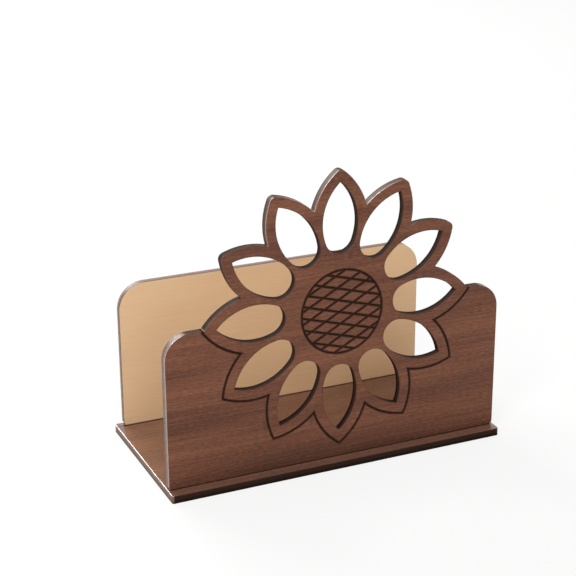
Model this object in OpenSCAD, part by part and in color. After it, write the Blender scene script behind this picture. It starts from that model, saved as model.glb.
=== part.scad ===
// Napkin holder: a front panel cut as a sunflower and a low plain back panel, both standing on a
// base board. Each board is faced with walnut on its show side, and tabs on the panels' lower
// edges pass into slots in the base.
// X runs along the slot for the napkins, Y to the back, Z up, in millimetres.
// The origin is the centre of the base's underside.

/* [Boards] */
// Thickness of every board, walnut face included
board_t = 4; // [3:0.5:6]
// Thickness of the walnut face on the show side of a board
face_t = 0.6; // [0.5:0.1:1]

/* [Base] */
// Length of the base
base_w = 178; // [170:1:240]
// Depth of the base, front to back
base_d = 87; // [60:1:140]
// Radius of the base's four corners
base_corner_r = 1; // [0.5:0.5:4]

/* [Front panel] */
// How far the base stands out in front of the front panel
front_setback = 6.2; // [2:0.1:12]
// How far each end of the front panel stays inside the base's end
front_inset = 0.5; // [0:0.5:4]
// Height of the front panel's shoulders above the base
shoulder_h = 78; // [60:1:95]
// Radius of the shoulders' top corners
shoulder_r = 12.5; // [4:0.5:13]

/* [Back panel] */
// How far each end of the back panel stays inside the base's end
back_inset = 4; // [2:0.5:12]
// Height of the back panel above the base
back_h = 77; // [50:1:120]
// Radius of the back panel's top corners
back_r = 14; // [4:0.5:24]

/* [Joints] */
// Radius on the lower corners of both panels
foot_r = 2; // [0.5:0.5:3]
// Width of each tab on a panel's lower edge
tab_w = 30; // [15:1:45]
// Distance between the middles of a panel's two tabs
tab_spacing = 100; // [70:1:110]
// Clearance between a tab and its slot, on each side
joint_gap = 0.1; // [0.05:0.05:0.3]
// How far a tab's end stays above the base's underside
tab_relief = 0.3; // [0.2:0.1:1]

/* [Flower] */
// Number of petals
petals = 12; // [10:1:14]
// How far the flower's middle lies to the right of the panel's middle
flower_x = 1; // [-3:0.5:3]
// Height of the flower's middle above the base
flower_h = 77.5; // [74:0.5:80]
// Radius from the flower's middle to the petals' points
petal_point_r = 70.6; // [68:0.1:72]
// Radius from the flower's middle to the valleys between petals
valley_r = 53.3; // [51:0.1:56]
// Radius of the curve along each side of a petal
petal_side_r = 35.3; // [31:0.1:45]
// Radius that blunts the point of a petal that is engraved
petal_blunt_r = 1.5; // [0.7:0.1:3]
// Radius that rounds the point of a petal that is cut out above the shoulders
petal_tip_r = 3.5; // [1:0.5:5]

/* [Petal openings] */
// Distance between an opening's point and the point of its petal
opening_margin = 7; // [4:0.1:10]
// Radius from the flower's middle to the middle of an opening's round inner end
opening_end_at = 36.4; // [34:0.1:39]
// Width of the wood left between the round ends of neighbouring openings
opening_wall = 2.85; // [1.5:0.05:5]
// Where an opening is widest, as a share of the way from its round end's middle to its point
opening_wide_share = 0.25; // [0.15:0.01:0.3]

/* [Engraving] */
// Width of the engraved lines
line_w = 0.8; // [0.5:0.1:1.2]
// Depth of the engraved lines
line_depth = 0.4; // [0.2:0.1:0.4]
// Radius of the engraved circle round the seeds
seed_r = 21.2; // [16:0.1:24]
// How far the seed circle's middle lies to the right of the flower's
seed_dx = 1.1; // [-2:0.1:2]
// How far the seed circle's middle lies below the flower's
seed_drop = 1.2; // [0:0.1:2]
// Distance between neighbouring hatch lines
hatch_pitch = 5.7; // [4:0.1:9]
// Angle of each family of hatch lines to the hatch's own axis
hatch_half_angle = 22; // [15:1:45]
// Angle by which the hatch's axis is turned from level
hatch_tilt = 6; // [0:1:20]
// How far the hatch is shifted to the left of the seed circle's middle
hatch_shift = 1.5; // [0:0.1:3]

/* [Hidden] */
$fn = 96;

core_t = board_t - face_t;
front_y = -base_d / 2 + front_setback;
back_y = base_d / 2 - board_t;
front_w = base_w - 2 * front_inset;
back_w = base_w - 2 * back_inset;
shoulder_z = board_t + shoulder_h;
flower_z = board_t + flower_h;
reach = base_w;
overcut = 1;
// Added to the radius of a round end, so that it crosses the curves it runs into and doesn't graze them
weld = 0.01;
half_step = 180 / petals;
walnut = [0.46, 0.31, 0.24];
cut_edge = [0.60, 0.46, 0.36];
bare_face = [0.84, 0.69, 0.53];

// Middle of the circle of radius r that runs from point a to point b with its bulge to the left
function arc_middle(a, b, r) =
    let (chord = b - a, span = norm(chord))
    (a + b) / 2 + [chord.y, -chord.x] / span * sqrt(r * r - span * span / 4);

valley = valley_r * [cos(half_step), sin(half_step)];
petal_arc = arc_middle(valley, [petal_point_r, 0], petal_side_r);

// Middle of the circle of radius r that rounds a petal's point
function tip_x(r) = petal_arc.x + sqrt(pow(petal_side_r - r, 2) - pow(petal_arc.y, 2));
// How far along the petal its side curves run before that circle takes over
function side_end(r, grow) = petal_arc.x + (tip_x(r) - petal_arc.x) * (petal_side_r + grow) / (petal_side_r - r);

function petal_turn(i) = 90 + i * 2 * half_step;
// Whether a petal's point stands clear of the shoulders, where it is cut out and not engraved
function stands_clear(i) = flower_z + petal_point_r * sin(petal_turn(i)) > shoulder_z + petal_tip_r;

opening_end_r = opening_end_at * sin(half_step) - opening_wall / 2;
opening_point_r = petal_point_r - opening_margin;
opening_wide_r = opening_end_at + opening_wide_share * (opening_point_r - opening_end_at);
wide_to_point = opening_point_r - opening_wide_r;
wide_to_end = opening_wide_r - opening_end_at;
// The side curves pass through the point and run into the round end without a corner
opening_side_r = (pow(wide_to_point, 2) - pow(wide_to_end, 2) + pow(opening_end_r, 2)) / (2 * opening_end_r);
opening_arc = [opening_wide_r, -sqrt(pow(opening_side_r, 2) - pow(wide_to_point, 2))];
end_touch = opening_wide_r - wide_to_end * opening_side_r / (opening_side_r - opening_end_r);

seed_at = [flower_x + seed_dx, flower_z - seed_drop];
hatch_lines = ceil((seed_r + hatch_shift) / hatch_pitch);

// A plate of width w from height z to height top, its upper and lower corners rounded
module rounded_plate(w, z, top, upper_r, lower_r) {
    difference() {
        translate([-w / 2, z]) square([w, top - z]);
        for (side = [-1, 1]) {
            corner_waste([side * w / 2, top], [-side, -1], upper_r);
            corner_waste([side * w / 2, z], [-side, 1], lower_r);
        }
    }
}

// What rounding takes off a corner; inward gives the signs of the way into the plate
module corner_waste(corner, inward, r) {
    translate(corner) facing(inward) difference() {
        translate([-overcut, -overcut]) square(r + overcut);
        translate([r, r]) circle(r);
    }
}

module facing(signs) {
    mirror([signs.x < 0 ? 1 : 0, 0]) mirror([0, signs.y < 0 ? 1 : 0]) children();
}

// Two circles' common area: a shape pointed at both ends, lying along X
module lens(middle, r) {
    intersection() {
        translate(middle) circle(r);
        translate([middle.x, -middle.y]) circle(r);
    }
}

// One petal whose point is rounded with radius r; grow moves its whole edge outwards
module petal(r, grow) {
    intersection() {
        lens(petal_arc, petal_side_r + grow);
        translate([side_end(r, grow) - reach, -reach / 2]) square(reach);
    }
    translate([tip_x(r), 0]) circle(r + grow + weld);
}

module flower(grow) {
    translate([flower_x, flower_z]) {
        for (i = [0:petals - 1])
            rotate(petal_turn(i)) petal(stands_clear(i) ? petal_tip_r : petal_blunt_r, grow);
        circle(valley.x);
    }
}

module petal_opening() {
    intersection() {
        lens(opening_arc, opening_side_r);
        translate([end_touch, -reach / 2]) square(reach);
    }
    translate([opening_end_at, 0]) circle(opening_end_r + weld);
}

module petal_openings() {
    translate([flower_x, flower_z])
        for (i = [0:petals - 1]) rotate(petal_turn(i)) petal_opening();
}

module tabs() {
    for (side = [-1, 1])
        translate([side * tab_spacing / 2 - tab_w / 2, tab_relief])
            square([tab_w, board_t + foot_r - tab_relief]);
}

// Above the shoulders the flower is cut out along the inner side of its engraved line
module front_outline() {
    difference() {
        union() {
            rounded_plate(front_w, board_t, shoulder_z, shoulder_r, foot_r);
            intersection() {
                flower(-line_w / 2);
                translate([-reach, board_t + foot_r]) square(2 * reach);
            }
            tabs();
        }
        petal_openings();
    }
}

module back_outline() {
    rounded_plate(back_w, board_t, board_t + back_h, back_r, foot_r);
    tabs();
}

// The line round the flower below the shoulders, where it is engraved and not cut out
module flower_line() {
    intersection() {
        difference() {
            flower(line_w / 2);
            flower(-line_w / 2);
        }
        translate([-front_w / 2, board_t]) square([front_w, shoulder_h]);
    }
}

module seed_hatch() {
    translate(seed_at) {
        difference() {
            circle(seed_r + line_w / 2);
            circle(seed_r - line_w / 2);
        }
        intersection() {
            circle(seed_r);
            translate([-hatch_shift, 0])
                for (family = [-1, 1], i = [-hatch_lines:hatch_lines])
                    rotate(hatch_tilt + family * hatch_half_angle)
                        translate([0, i * hatch_pitch])
                            square([3 * seed_r, line_w], center = true);
        }
    }
}

// Stands a drawing up as a sheet of thickness t whose rear side is at y
module stand(y, t) {
    translate([0, y, 0]) rotate([90, 0, 0]) linear_extrude(t) children();
}

// Slots for the front panel's tabs, and notches in the rear edge for the back panel's
module base_outline() {
    difference() {
        translate([0, -base_d / 2])
            rounded_plate(base_w, 0, base_d, base_corner_r, base_corner_r);
        for (side = [-1, 1], y = [front_y, back_y])
            translate([side * tab_spacing / 2 - tab_w / 2 - joint_gap, y - joint_gap])
                square([tab_w + 2 * joint_gap,
                        y == back_y ? board_t + joint_gap + overcut : board_t + 2 * joint_gap]);
    }
}

module base_board() {
    color(bare_face) linear_extrude(core_t) base_outline();
}

module base_walnut_face() {
    color(walnut) translate([0, 0, core_t]) linear_extrude(face_t) base_outline();
}

module front_panel_board() {
    color(cut_edge) stand(front_y + board_t, core_t) front_outline();
}

module front_walnut_face() {
    color(walnut) difference() {
        stand(front_y + face_t, face_t) front_outline();
        stand(front_y + line_depth, line_depth + overcut) {
            flower_line();
            seed_hatch();
        }
    }
}

module back_panel_board() {
    color(bare_face) stand(back_y + core_t, core_t) back_outline();
}

module back_walnut_face() {
    color(walnut) stand(back_y + board_t, face_t) back_outline();
}

base_board();
base_walnut_face();
front_panel_board();
front_walnut_face();
back_panel_board();
back_walnut_face();
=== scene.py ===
# %% [markdown]
# # A laser-cut napkin holder
#
# The real object is three thin boards: a base, a tall front panel cut out and engraved as a
# sunflower, and a low back panel. Each board is faced with walnut on its show side. The CAD
# model already has every shape, so nothing is modelled again here. What Blender adds is the look
# of the wood: the figure of the walnut, the lines that the laser burnt, and the browned edges.

# %% Load the CAD model as the fixed frame
import math

import bpy
from mathutils import Matrix, Vector

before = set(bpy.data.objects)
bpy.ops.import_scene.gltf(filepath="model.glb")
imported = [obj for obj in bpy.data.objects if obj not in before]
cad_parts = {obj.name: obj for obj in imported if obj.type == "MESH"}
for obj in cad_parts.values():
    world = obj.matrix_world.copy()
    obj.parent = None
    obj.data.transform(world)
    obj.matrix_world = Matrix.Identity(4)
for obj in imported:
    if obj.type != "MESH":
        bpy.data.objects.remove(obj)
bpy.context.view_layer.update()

print("CAD nodes:", ", ".join(sorted(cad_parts)))

# %% [markdown]
# ## The camera
#
# A photograph can be matched by eye, but straight edges and sharp corners pin a camera down
# exactly: these angles, this distance and this focal length come from fitting the boards' corners
# and the petals' points. The camera looks from the left and from above, with a long lens.

# %% Camera
MM = 0.001
LOOKS_AT_MM = (-9.621, 0.0, 81.567)
AZIMUTH, ELEVATION, ROLL = (math.radians(a) for a in (-23.969, 20.386, -0.343))
DISTANCE_MM = 756.165
LENS_MM, SENSOR_MM = 95.205, 36.0


def camera_axes(azimuth, elevation, roll):
    """The camera's right, up and backward directions."""
    back = Vector((math.sin(azimuth) * math.cos(elevation),
                   -math.cos(azimuth) * math.cos(elevation), math.sin(elevation)))
    right = Vector((math.cos(azimuth), math.sin(azimuth), 0))
    turn = Matrix.Rotation(roll, 3, back)
    return turn @ right, turn @ back.cross(right), back


right, up, back = camera_axes(AZIMUTH, ELEVATION, ROLL)
camera = bpy.data.objects.new("camera", bpy.data.cameras.new("camera"))
bpy.context.scene.collection.objects.link(camera)
camera.data.lens, camera.data.sensor_width = LENS_MM, SENSOR_MM
camera.data.clip_start, camera.data.clip_end = 0.05, 50
camera.matrix_world = Matrix.Translation(Vector(LOOKS_AT_MM) * MM + back * DISTANCE_MM * MM) @ Matrix(
    (right, up, back)).transposed().to_4x4()
bpy.context.scene.camera = camera
bpy.context.scene.view_settings.view_transform = "Standard"
print("camera at", [round(c, 3) for c in camera.matrix_world.translation])

# %% [markdown]
# ## Arithmetic on a surface
#
# A material is a formula: for each point of a surface it gives a colour and a roughness. In the
# node editor each plus or times is a Math node. The small class below lets Python's own signs make
# those nodes, so that the formulas further down read like formulas.

# %% Numbers that vary over a surface
class Field:
    """A number at each point of a surface. Arithmetic on it makes Math nodes."""

    def __init__(self, tree, socket):
        self.tree, self.socket = tree, socket

    def math(self, operation, *others):
        node = self.tree.nodes.new("ShaderNodeMath")
        node.operation = operation
        for slot, value in zip(node.inputs, (self, *others)):
            feed(self.tree, slot, value)
        return Field(self.tree, node.outputs[0])

    def __add__(self, other):
        return self.math("ADD", other)

    def __sub__(self, other):
        return self.math("SUBTRACT", other)

    def __radd__(self, other):
        return self + other

    def __mul__(self, other):
        return self.math("MULTIPLY", other)

    def __truediv__(self, other):
        return self.math("DIVIDE", other)

    def __rsub__(self, other):
        return (self - other) * -1

    def __abs__(self):
        return self.math("ABSOLUTE")

    def rise(self, low, high):
        """0 up to low and 1 from high on, with a smooth slope between. It falls where low is above high."""
        node = self.tree.nodes.new("ShaderNodeMapRange")
        node.interpolation_type = "SMOOTHSTEP"
        for name, value in (("Value", self), ("From Min", low), ("From Max", high)):
            feed(self.tree, node.inputs[name], value)
        return Field(self.tree, node.outputs[0])


def feed(tree, slot, value):
    """Gives a socket a Field, another socket or a plain value."""
    if isinstance(value, Field):
        tree.links.new(value.socket, slot)
    elif isinstance(value, bpy.types.NodeSocket):
        tree.links.new(value, slot)
    else:
        slot.default_value = value


def length(a, b):
    """The distance from the origin to the point (a, b)."""
    return (a * a + b * b).math("SQRT")


def least(*fields):
    """The smallest of several fields."""
    first, *others = fields
    for other in others:
        first = first.math("MINIMUM", other)
    return first


def most(*fields):
    """The largest of several fields."""
    first, *others = fields
    for other in others:
        first = first.math("MAXIMUM", other)
    return first


print("Field makes Math nodes from +, -, * and /")

# %% [markdown]
# Wood's figure is noise that is drawn out along the grain. `noise` takes its three coordinates as
# fields, so the stretching is a plain division: lengths in millimetres, divided by how long one
# fleck of the pattern is in that direction. The patterns read Object coordinates, which stay with
# the wood wherever the camera is.

# %% Coordinates, noise and colours
def parts(tree, vector):
    """The X, Y and Z of a vector, as three fields."""
    split = tree.nodes.new("ShaderNodeSeparateXYZ")
    tree.links.new(vector, split.inputs[0])
    return [Field(tree, out) for out in split.outputs]


def position_mm(tree):
    """The point's own X, Y and Z in millimetres, in the object's frame."""
    return [part / MM for part in parts(tree, tree.nodes.new("ShaderNodeTexCoord").outputs["Object"])]


def normal_part(tree, axis):
    """How much the surface faces along one axis, from -1 to 1."""
    return parts(tree, tree.nodes.new("ShaderNodeTexCoord").outputs["Normal"])["XYZ".index(axis)]


def noise(tree, x, y, z, detail=2.0, roughness=0.5):
    """Smooth noise, mostly between 0.3 and 0.7, whose flecks are about one unit long."""
    join = tree.nodes.new("ShaderNodeCombineXYZ")
    for slot, value in zip(join.inputs, (x, y, z)):
        feed(tree, slot, value)
    node = tree.nodes.new("ShaderNodeTexNoise")
    tree.links.new(join.outputs[0], node.inputs["Vector"])
    for name, value in (("Scale", 1.0), ("Detail", detail), ("Roughness", roughness)):
        node.inputs[name].default_value = value
    return Field(tree, node.outputs[0])


def rgb(red, green, blue):
    """A colour as a screen shows it, 0 to 255, as the linear colour a shader takes."""
    linear = [c / 12.92 if c <= 0.04045 else ((c + 0.055) / 1.055) ** 2.4
              for c in (red / 255, green / 255, blue / 255)]
    return (*linear, 1.0)


def blend(tree, share, first, second):
    """The first colour where share is 0 and the second where it is 1."""
    node = tree.nodes.new("ShaderNodeMix")
    node.data_type = "RGBA"
    for slot, value in zip((node.inputs[0], node.inputs[6], node.inputs[7]), (share, first, second)):
        feed(tree, slot, value)
    return node.outputs[2]


def ramp(tree, value, stops):
    """A colour for each value, from a list of (value, colour)."""
    node = tree.nodes.new("ShaderNodeValToRGB")
    feed(tree, node.inputs[0], value)
    bar = node.color_ramp.elements
    while len(bar) < len(stops):
        bar.new(1.0)
    for element, (place, colour) in zip(bar, stops):
        element.position, element.color = place, colour
    return node.outputs[0]


print("mid walnut in linear light:", [round(c, 3) for c in rgb(122, 82, 63)[:3]])

# %% [markdown]
# ## Walnut
#
# Walnut veneer is a warm brown with long, slightly wavy bands, finer streaks inside them, and short
# dark pores. Three noises at three scales are added up and turned into colour by a ramp, and a fourth
# places the pores. One more, much slower noise bends the grain, because no real board has dead
# straight lines.

# %% The figure of walnut
WALNUT = [(0.30, rgb(68, 42, 31)), (0.42, rgb(91, 55, 40)),
          (0.52, rgb(110, 68, 49)), (0.68, rgb(136, 89, 65))]
PORE = rgb(58, 36, 27)


def walnut_figure(tree, along, across, seed, shade=0.0):
    """Colour, roughness and height of walnut veneer whose grain runs along the first coordinate."""
    wave = noise(tree, along / 120, across / 45, seed) - 0.5
    bent = across + wave * 10
    band = noise(tree, along / 180, bent / 13, seed + 3, detail=3)
    streak = noise(tree, along / 60, bent / 1.1, seed + 7, detail=4, roughness=0.65)
    fibre = noise(tree, along / 2.5, bent / 0.45, seed + 11, detail=3)
    pore = noise(tree, along / 4, bent / 0.28, seed + 17, detail=1).rise(0.58, 0.70)
    tone = 0.5 + (band - 0.5) * 0.42 + (streak - 0.5) * 0.36 + (fibre - 0.5) * 0.44 - shade
    colour = blend(tree, pore * 0.5, ramp(tree, tone, WALNUT), PORE)
    return colour, tone * -0.3 + 0.62, fibre * 0.4 - pore


print("walnut ramp has", len(WALNUT), "stops")

# %% [markdown]
# ## Browned edges
#
# A laser cuts by burning, so an edge comes out dark brown, and the layers inside the board show as
# fine lines: the walnut in front, pale plies and dark glue lines behind it. Where soot stays, as
# inside the narrow petal openings, the edge is nearly black and takes no shine; that black, deepest
# at the back, is also painted shade, the shade that the openings lie in. A ramp over the depth
# behind the show face paints all the layers at once.

# %% The look of a cut edge
BOARD_MM = 4.0
# A tone for each share of the thickness, from the show face back
LAYERS = [
    (0.00, rgb(112, 78, 60)), (0.14, rgb(108, 75, 57)),     # walnut
    (0.18, rgb(56, 37, 29)),                                # glue
    (0.24, rgb(154, 116, 89)), (0.40, rgb(142, 104, 80)),   # pale ply
    (0.45, rgb(64, 43, 33)),                                # glue
    (0.50, rgb(128, 92, 70)), (0.70, rgb(118, 84, 64)),     # darker ply
    (0.76, rgb(58, 39, 30)),                                # glue
    (1.00, rgb(86, 60, 46)),                                # last ply
]
# Tones of a sooty edge; their black, deepest at the back, is also painted shade inside the openings and on
# the base's long edges
SOOT_AND_SHADE_LAYERS = [
    (0.00, rgb(84, 56, 43)), (0.20, rgb(70, 46, 36)),       # walnut
    (0.28, rgb(26, 15, 10)),                                # glue
    (0.38, rgb(58, 38, 30)), (0.52, rgb(54, 35, 27)),       # ply
    (0.62, rgb(26, 15, 10)), (1.00, rgb(29, 18, 12)),       # charred through
]
SPECK = rgb(70, 50, 41)


def cut_edge(tree, x, y, z, depth, soot_and_shade):
    """Colour and roughness of an edge. depth is how far behind the show face a point lies, in mm; its burnt
    tones also serve as painted shade.
    """
    speckle = noise(tree, x / 0.9, y / 1.8, z / 0.9, detail=3)
    level = depth / BOARD_MM + (speckle - 0.5) * 0.08
    clean, burnt = ramp(tree, level, LAYERS), ramp(tree, level, SOOT_AND_SHADE_LAYERS)
    clean = blend(tree, speckle.rise(0.50, 0.75) * 0.5, clean, SPECK)
    return blend(tree, soot_and_shade, clean, burnt), most(soot_and_shade * 0.30 + 0.42, speckle * 0.6 + 0.2)


print("an edge has", len(LAYERS), "tones from the show face to the back")

# %% [markdown]
# ## Where the laser went
#
# Soot, painted shade and engraving follow the flower, so the material has to know where the petals
# are. The same circles that cut the petals in the CAD source give the distance to a petal's edge and
# to an opening's edge: all points are first turned into one petal, by wrapping the angle round the
# flower's middle.

# %% Distances from the flower's edges, in millimetres
FLOWER_X, FLOWER_Z = 1.0, 81.5
PETALS = 12
HALF_STEP = math.pi / PETALS
PETAL_POINT_R, VALLEY_R, PETAL_SIDE_R = 70.6, 53.3, 35.3
OPENING_POINT_R, OPENING_END_AT, OPENING_WALL, OPENING_WIDE_SHARE = 63.6, 36.4, 2.85, 0.25

valley = Vector((math.cos(HALF_STEP), math.sin(HALF_STEP))) * VALLEY_R
chord = Vector((PETAL_POINT_R, 0)) - valley
sideways = Vector((chord.y, -chord.x)).normalized()
PETAL_ARC = valley + chord / 2 + sideways * math.sqrt(PETAL_SIDE_R ** 2 - chord.length_squared / 4)
OPENING_END_R = OPENING_END_AT * math.sin(HALF_STEP) - OPENING_WALL / 2
OPENING_WIDE_R = OPENING_END_AT + OPENING_WIDE_SHARE * (OPENING_POINT_R - OPENING_END_AT)
to_point, to_end = OPENING_POINT_R - OPENING_WIDE_R, OPENING_WIDE_R - OPENING_END_AT
OPENING_SIDE_R = (to_point ** 2 - to_end ** 2 + OPENING_END_R ** 2) / (2 * OPENING_END_R)
OPENING_SINK = math.sqrt(OPENING_SIDE_R ** 2 - to_point ** 2)
END_TOUCH = OPENING_WIDE_R - to_end * OPENING_SIDE_R / (OPENING_SIDE_R - OPENING_END_R)


def flower_distances(tree, x, z):
    """How far outside a petal's outline and outside an opening a point lies; negative is inside."""
    dx, dz = x - FLOWER_X, z - FLOWER_Z
    radius = length(dx, dz)
    angle = dx.math("ARCTAN2", dz).math("WRAP", HALF_STEP, -HALF_STEP)
    along, aside = radius * angle.math("COSINE"), abs(radius * angle.math("SINE"))
    petal = length(most(along - PETAL_ARC.x, 0.0), aside - PETAL_ARC.y) - PETAL_SIDE_R
    side = length(along - OPENING_WIDE_R, aside + OPENING_SINK) - OPENING_SIDE_R
    end = length(along - OPENING_END_AT, aside) - OPENING_END_R
    past_end = along.math("GREATER_THAN", END_TOUCH)
    return petal, side * past_end + end * (1 - past_end)


print("petal side arc's middle:", [round(c, 2) for c in PETAL_ARC])
print("opening side radius:", round(OPENING_SIDE_R, 2))

# %% [markdown]
# The engraved lines are real grooves in the CAD model, 0.8 mm wide. A laser also scorches the wood
# beside its path, which makes each line look wider and softer. The scorch needs the distance from
# the nearest line: the petals' lines below the shoulders, the seed circle, and the two families of
# parallel hatch lines inside it, whose distance repeats with the pitch.

# %% Distance from the engraved lines
SHOULDER_Z = 82.0
SEED_X, SEED_Z, SEED_R = 2.1, 80.3, 21.2
HATCH_SHIFT, HATCH_PITCH, HATCH_ANGLES = 1.5, 5.7, (6 - 22, 6 + 22)
FAR = 9.0


def engraving_distance(tree, x, z, petal):
    """Distance from the middle of the nearest engraved line."""
    dx, dz = x - SEED_X, z - SEED_Z
    circle = length(dx, dz) - SEED_R
    inside = circle.math("LESS_THAN", 0.0)
    lines = [abs(petal) + z.math("GREATER_THAN", SHOULDER_Z) * FAR, abs(circle)]
    for degrees in HATCH_ANGLES:
        turn = math.radians(degrees)
        off = dz * math.cos(turn) - (dx + HATCH_SHIFT) * math.sin(turn)
        lines.append(abs(off.math("WRAP", HATCH_PITCH / 2, -HATCH_PITCH / 2)) + (1 - inside) * FAR)
    return least(*lines)


print("hatch lines run at", HATCH_ANGLES, "degrees")

# %% [markdown]
# ## One recipe for every board
#
# A faced board is the same thing three times, lying or standing: walnut on its show side, bare pale
# wood on the other, browned edges between. So one function makes the material of any of its pieces,
# from the direction that the show side faces. First come its ingredients.

# %% Burnt and bare wood, painted sheen, painted highlight and painted joint shade
BARE, BARE_DARK = rgb(226, 196, 159), rgb(204, 168, 129)
# Near black of laser scorch; also painted shade at the joints and on the base's long edges
SCORCH_AND_SHADE = rgb(36, 26, 20)
# Pale colour painted on the arrises that look up or left: a painted highlight
PAINTED_ARRIS_HIGHLIGHT = rgb(196, 172, 152)
# Grey mixed into the base's walnut: a painted sheen
SHEEN_GREY = rgb(122, 104, 97)
FRONT_FACE_Y, BACK_INNER_Y, BACK_FACE_Y, BASE_TOP_Z = -37.3, 39.5, 43.5, 4.0


def walnut_side(tree, along, across, seed, shade, painted_sheen, polish):
    """Colour, roughness and height of the show side; a painted sheen greys it and polish smooths it."""
    colour, roughness, height = walnut_figure(tree, along, across, seed, shade)
    if painted_sheen:
        colour = blend(tree, painted_sheen, colour, SHEEN_GREY)
    return colour, roughness - polish, height


def bare_wood(tree, along, across, seed):
    """Colour, roughness and height of the pale board behind the walnut."""
    grain = noise(tree, along / 35, across / 0.9, seed + 5, detail=4)
    cloud = noise(tree, along / 45, across / 25, seed + 9)
    return blend(tree, grain * 0.55 + cloud * 0.45 - 0.1, BARE, BARE_DARK), grain * 0.15 + 0.5, grain * 0.5


def in_groove(depth):
    """1 on the floor and the walls of an engraved groove."""
    return depth.rise(0.05, 0.2)


def burnt_by_laser(tree, x, z, depth, colour, line, opening, seed):
    """Darkens the engraved grooves, the scorched wood beside them and the rims of the openings."""
    uneven = noise(tree, x / 1.4, z / 1.4, seed, detail=3)
    groove = in_groove(depth) * (uneven * 0.3 + 0.7)
    beside = line.rise(0.95, 0.50) * (uneven * 0.7 + 0.5)
    rim = opening.rise(0.5, 0.0) * 0.3
    return blend(tree, most(groove, beside, rim), colour, SCORCH_AND_SHADE)


def joint_shadow(tree, y, z):
    """Painted shade: the dark line where an upright panel meets the base."""
    at_front, at_back = abs(y - FRONT_FACE_Y), abs(y - BACK_INNER_Y)
    return most(at_front.rise(0.55, 0.25), at_back.rise(0.8, 0.3)) * abs(z - BASE_TOP_Z).rise(0.6, 0.3)


print("bare wood, scorch and joint lines are ready; the base's top is at", BASE_TOP_Z, "mm")

# %% [markdown]
# A sharp corner in a model never catches the light, but on real wood each arris is a little
# rounded. The Bevel node rounds the shading alone, so the shape stays the CAD model's. Where its
# normal leaves the flat one there is an arris. Those that look up or left get a clear coat, which
# draws the long lines of light, and a pale painted highlight besides.

# %% Worn arrises and grain
ARRIS_MM, ARRIS_SAMPLES = 0.65, 8
COAT_ROUGHNESS, COAT_IOR = 0.3, 4.5
GRAIN_STRENGTH, GRAIN_MM = 0.3, 0.06


def arris_coat_and_highlight(tree, rounded, turned_x, turned_z, dull):
    """1 on an arris that looks up or left and isn't dull with soot, 0 on flat wood: where the coat and the
    painted highlight go.
    """
    apart = tree.nodes.new("ShaderNodeVectorMath")
    apart.operation = "DOT_PRODUCT"
    tree.links.new(rounded, apart.inputs[0])
    tree.links.new(tree.nodes.new("ShaderNodeNewGeometry").outputs["True Normal"], apart.inputs[1])
    on_arris = Field(tree, apart.outputs["Value"]).rise(0.995, 0.85)
    return on_arris * most(turned_z, turned_x * -1).rise(0.0, 0.35) * (1 - dull)


def coat_arrises(tree, shader, rounded, coat_and_highlight):
    """A clear coat on the arrises that look up or left, and nowhere else."""
    feed(tree, shader.inputs["Coat Weight"], coat_and_highlight)
    shader.inputs["Coat Roughness"].default_value = COAT_ROUGHNESS
    shader.inputs["Coat IOR"].default_value = COAT_IOR
    tree.links.new(rounded, shader.inputs["Coat Normal"])


def grain_bump(tree, shader, rounded, height):
    """Lets the grain break up the light, on top of the rounded arrises."""
    bump = tree.nodes.new("ShaderNodeBump")
    bump.inputs["Strength"].default_value = GRAIN_STRENGTH
    bump.inputs["Distance"].default_value = GRAIN_MM * MM
    feed(tree, bump.inputs["Height"], height)
    tree.links.new(rounded, bump.inputs["Normal"])
    tree.links.new(bump.outputs[0], shader.inputs["Normal"])


print("arrises are shaded as if", ARRIS_MM, "mm round")

# %% [markdown]
# Soot isn't even. It stays inside the narrow openings and in the grooves, and painted shade joins it
# on the petals' edges, so the outer petals on both sides are darker than the upper ones. Soot also
# takes the shine off, so each place says how much soot and shade it has and how dull it is.

# %% Soot and painted shade on the flower
# Petal edges are darkened by soot and by painted shade, the outer petals more than the upper ones
OUTER_LEFT_X, OUTER_RIGHT_X = (-20, -60), (30, 50)
SOOT_AND_SHADE_ALL, SOOT_AND_SHADE_LEFT, SOOT_AND_SHADE_RIGHT = 0.6, 0.35, 0.3


def flower_soot_and_shade(x, z, line, opening, soot_and_shade, dull):
    """Adds the flower's own soot and painted shade to a point's soot, shade and dullness."""
    cut_out = z.rise(SHOULDER_Z, SHOULDER_Z + 0.5)
    outer = x.rise(*OUTER_LEFT_X) * SOOT_AND_SHADE_LEFT + x.rise(*OUTER_RIGHT_X) * SOOT_AND_SHADE_RIGHT
    on_petals = cut_out * (outer + SOOT_AND_SHADE_ALL)
    soot_and_shade = most(soot_and_shade, opening.rise(0.45, 0.25), line.rise(0.8, 0.6), on_petals)
    dull = most(dull, opening.rise(1.1, 0.7) * 0.97, line.rise(1.6, 1.2), on_petals.rise(0.66, 0.88) * 0.93)
    return soot_and_shade, dull


print("soot on the petals runs from", SOOT_AND_SHADE_ALL, "to", SOOT_AND_SHADE_ALL + SOOT_AND_SHADE_LEFT)
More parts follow.
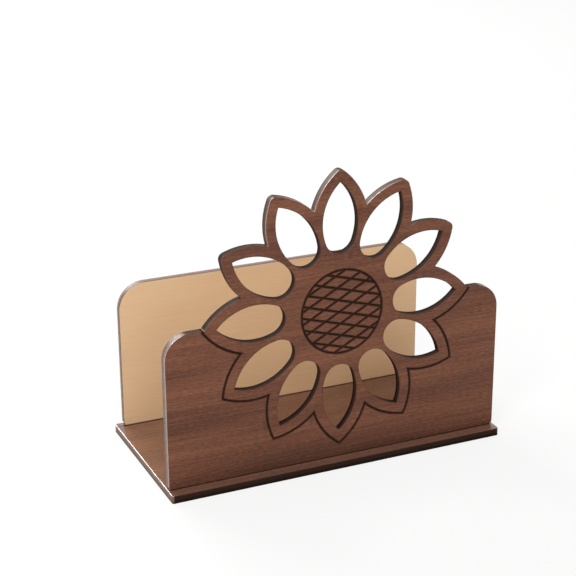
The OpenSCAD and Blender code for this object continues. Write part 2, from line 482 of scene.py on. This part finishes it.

# %% [markdown]
# Now the recipe itself. It asks three things of each point: how deep it lies behind the show face,
# whether it is on a cut edge, and how much soot and painted shade it has there. Flat wood and cut
# edge are mixed by the second, and the same share mixes their roughness and their shine.

# %% Material of a faced board
def board_material(name, show, face_at, flower=False, front_soot_and_shade=0.0, end_soot_and_shade=0.0, charred_and_shaded=0.0,
                   shade=0.0, painted_sheen=0.0, gloss=0.30, polish=0.0, seed=0.0, piece="face"):
    """A Principled material for one piece of a faced board. show is the axis its show side faces along."""
    material = bpy.data.materials.new(name)
    material.use_nodes = True
    tree = material.node_tree
    shader = tree.nodes["Principled BSDF"]
    x, y, z = position_mm(tree)
    facing, across = (y, z) if show[-1] == "Y" else (z, y)
    depth = facing - face_at if show[0] == "-" else face_at - facing
    on_edge = abs(normal_part(tree, show[-1])).rise(0.7, 0.5)
    bevel = tree.nodes.new("ShaderNodeBevel")
    bevel.samples = ARRIS_SAMPLES
    bevel.inputs["Radius"].default_value = ARRIS_MM * MM
    rounded = bevel.outputs[0]
    turned_x, _, turned_z = parts(tree, rounded)
    end_on = abs(turned_x).rise(0.08, 0.25)
    soot_and_shade = end_on * (end_soot_and_shade - front_soot_and_shade) + front_soot_and_shade
    dull = soot_and_shade.rise(0.3, 0.8)
    if flower:
        petal, opening = flower_distances(tree, x, z)
        line = engraving_distance(tree, x, z, petal)
        feed(tree, bevel.inputs["Radius"], line.rise(0.6, 1.6) * ARRIS_MM * MM)
        soot_and_shade, dull = flower_soot_and_shade(x, z, line, opening, soot_and_shade, dull)
        # The walnut is made darker towards the bottom of the front panel, most from the middle rightwards
        shade = z.rise(30, 12) * (x.rise(-95, -30) * 0.5 + 0.3) * 0.07
        gloss = line.rise(0.3, 0.8) * gloss

    if piece == "face":
        colour, roughness, height = walnut_side(tree, x, across, seed, shade, painted_sheen, polish)
    else:
        colour, roughness, height = bare_wood(tree, x, across, seed)
    # Painted shade along the joints where the panels meet the base
    colour = blend(tree, joint_shadow(tree, y, z) * 0.85, colour, SCORCH_AND_SHADE)
    if flower and piece == "face":
        colour = burnt_by_laser(tree, x, z, depth, colour, line, opening, seed)
        roughness = roughness + in_groove(depth) * 0.2

    edge_colour, edge_roughness = cut_edge(tree, x, y, z, depth, soot_and_shade)
    # The base's long edges are darkened to near black: char, with painted shade on top
    if charred_and_shaded:
        edge_colour = blend(tree, (1 - end_on) * charred_and_shaded, edge_colour, SCORCH_AND_SHADE)
    colour = blend(tree, on_edge, colour, edge_colour)
    roughness = roughness * (1 - on_edge) + edge_roughness * on_edge
    edge_shine = 0.80 - soot_and_shade * 0.76

    if piece == "face":
        coat_and_highlight = arris_coat_and_highlight(tree, rounded, turned_x, turned_z, dull)
        # Painted highlight: the arrises that look up or left are made paler
        colour = blend(tree, coat_and_highlight * depth.rise(0.30, 0.10) * 0.35, colour, PAINTED_ARRIS_HIGHLIGHT)
        coat_arrises(tree, shader, rounded, coat_and_highlight)
    grain_bump(tree, shader, rounded, height * (1 - on_edge))
    feed(tree, shader.inputs["Base Color"], colour)
    feed(tree, shader.inputs["Roughness"], roughness)
    feed(tree, shader.inputs["Specular IOR Level"], (1 - on_edge) * gloss + on_edge * edge_shine)
    return material


print("one recipe, for walnut faces and for the boards behind them")

# %% [markdown]
# Only the facts differ from board to board. The base shines more than the others, its walnut is
# greyed a little as a painted sheen, and its long edges are charred and painted darker as shade than
# its ends. The back panel was cut clean. A different seed gives each board its own piece of figure.

# %% Dress the boards
BOARDS = {
    "front": dict(show="-Y", face_at=FRONT_FACE_Y, flower=True, front_soot_and_shade=0.85, end_soot_and_shade=0.2,
                  gloss=0.22, seed=2.0),
    # The base: a painted sheen greys its walnut; char and painted shade darken its long edges
    "base": dict(show="+Z", face_at=BASE_TOP_Z, front_soot_and_shade=1.0, end_soot_and_shade=0.42, charred_and_shaded=0.5,
                 shade=-0.09, painted_sheen=0.25, gloss=0.9, polish=0.24, seed=31.0),
    "back": dict(show="+Y", face_at=BACK_FACE_Y, front_soot_and_shade=0.10, end_soot_and_shade=0.25, seed=57.0),
}
NODES_OF = {
    "front": {"front_walnut_face": "face", "front_panel_board": "core"},
    "base": {"base_walnut_face": "face", "base_board": "core"},
    "back": {"back_walnut_face": "face", "back_panel_board": "core"},
}
for board, facts in BOARDS.items():
    for node, piece in NODES_OF[board].items():
        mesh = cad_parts[node].data
        wood = board_material(node + "_wood", piece=piece, **facts)
        mesh.materials.clear()
        mesh.materials.append(wood)
        print(node, "wears", wood.name, "with", len(wood.node_tree.nodes), "nodes")

# %% [markdown]
# ## The floor and the light
#
# The holder stands on a plain pale floor in soft light. The world gives an even light from all round;
# to the camera and in reflections it is plain white. A wide lamp stands behind, as a window would.
# Two small ones on the left, one above the other, draw the bright lines on the arrises, and a weak
# wide one in front keeps the engraving readable.

# %% Floor
FLOOR_SIZE = 8.0
FLOOR_GREY, FLOOR_WHITENESS = 0.86, 0.78
bpy.ops.mesh.primitive_plane_add(size=FLOOR_SIZE, location=(0, 0, 0))
floor = bpy.context.object
floor.name = "floor"
floor_material = bpy.data.materials.new("pale_floor")
floor_material.use_nodes = True
tree = floor_material.node_tree
paint = tree.nodes["Principled BSDF"]
paint.inputs["Base Color"].default_value = (FLOOR_GREY, FLOOR_GREY, FLOOR_GREY, 1)
paint.inputs["Roughness"].default_value = 0.7
paint.inputs["Specular IOR Level"].default_value = 0.2
glow = tree.nodes.new("ShaderNodeEmission")
mix = tree.nodes.new("ShaderNodeMixShader")
rays = tree.nodes.new("ShaderNodeLightPath")
feed(tree, mix.inputs[0], Field(tree, rays.outputs["Is Camera Ray"]) * FLOOR_WHITENESS)
tree.links.new(paint.outputs[0], mix.inputs[1])
tree.links.new(glow.outputs[0], mix.inputs[2])
tree.links.new(mix.outputs[0], tree.nodes["Material Output"].inputs["Surface"])
floor.data.materials.append(floor_material)
print("floor is", FLOOR_SIZE, "m wide")

# %% World and lamps
EVEN_LIGHT = 0.54
world = bpy.data.worlds.new("soft_daylight")
bpy.context.scene.world = world
world.use_nodes = True
tree = world.node_tree
even = tree.nodes["Background"]
even.inputs["Color"].default_value = (1.0, 0.98, 0.96, 1)
even.inputs["Strength"].default_value = EVEN_LIGHT
white = tree.nodes.new("ShaderNodeBackground")
white.inputs["Color"].default_value = (1, 1, 1, 1)
rays = tree.nodes.new("ShaderNodeLightPath")
seen = most(Field(tree, rays.outputs["Is Camera Ray"]), rays.outputs["Is Glossy Ray"],
            rays.outputs["Is Transmission Ray"])
mix = tree.nodes.new("ShaderNodeMixShader")
feed(tree, mix.inputs[0], seen)
tree.links.new(even.outputs[0], mix.inputs[1])
tree.links.new(white.outputs[0], mix.inputs[2])
tree.links.new(mix.outputs[0], tree.nodes["World Output"].inputs["Surface"])


def lamp(name, place, aim, size, watts):
    """A rectangular area lamp at place, in metres, turned towards aim."""
    light = bpy.data.lights.new(name, "AREA")
    light.shape, light.size, light.size_y, light.energy = "RECTANGLE", *size, watts
    obj = bpy.data.objects.new(name, light)
    bpy.context.scene.collection.objects.link(obj)
    obj.location = place
    obj.rotation_euler = (Vector(aim) - Vector(place)).to_track_quat("-Z", "Y").to_euler()
    print(name, "at", place, "with", watts, "W")


MIDDLE = (0, 0, 0.08)
lamp("window_behind", (-0.36, 1.5, 0.86), MIDDLE, (0.95, 0.45), 22)
lamp("key_left", (-1.15, -1.0, 1.3), MIDDLE, (0.4, 0.4), 11.5)
lamp("key_high", (-0.45, -0.95, 1.75), MIDDLE, (0.4, 0.3), 6.4)
lamp("front_fill", (-0.2, -1.7, 0.7), MIDDLE, (1.2, 1.2), 3.6)
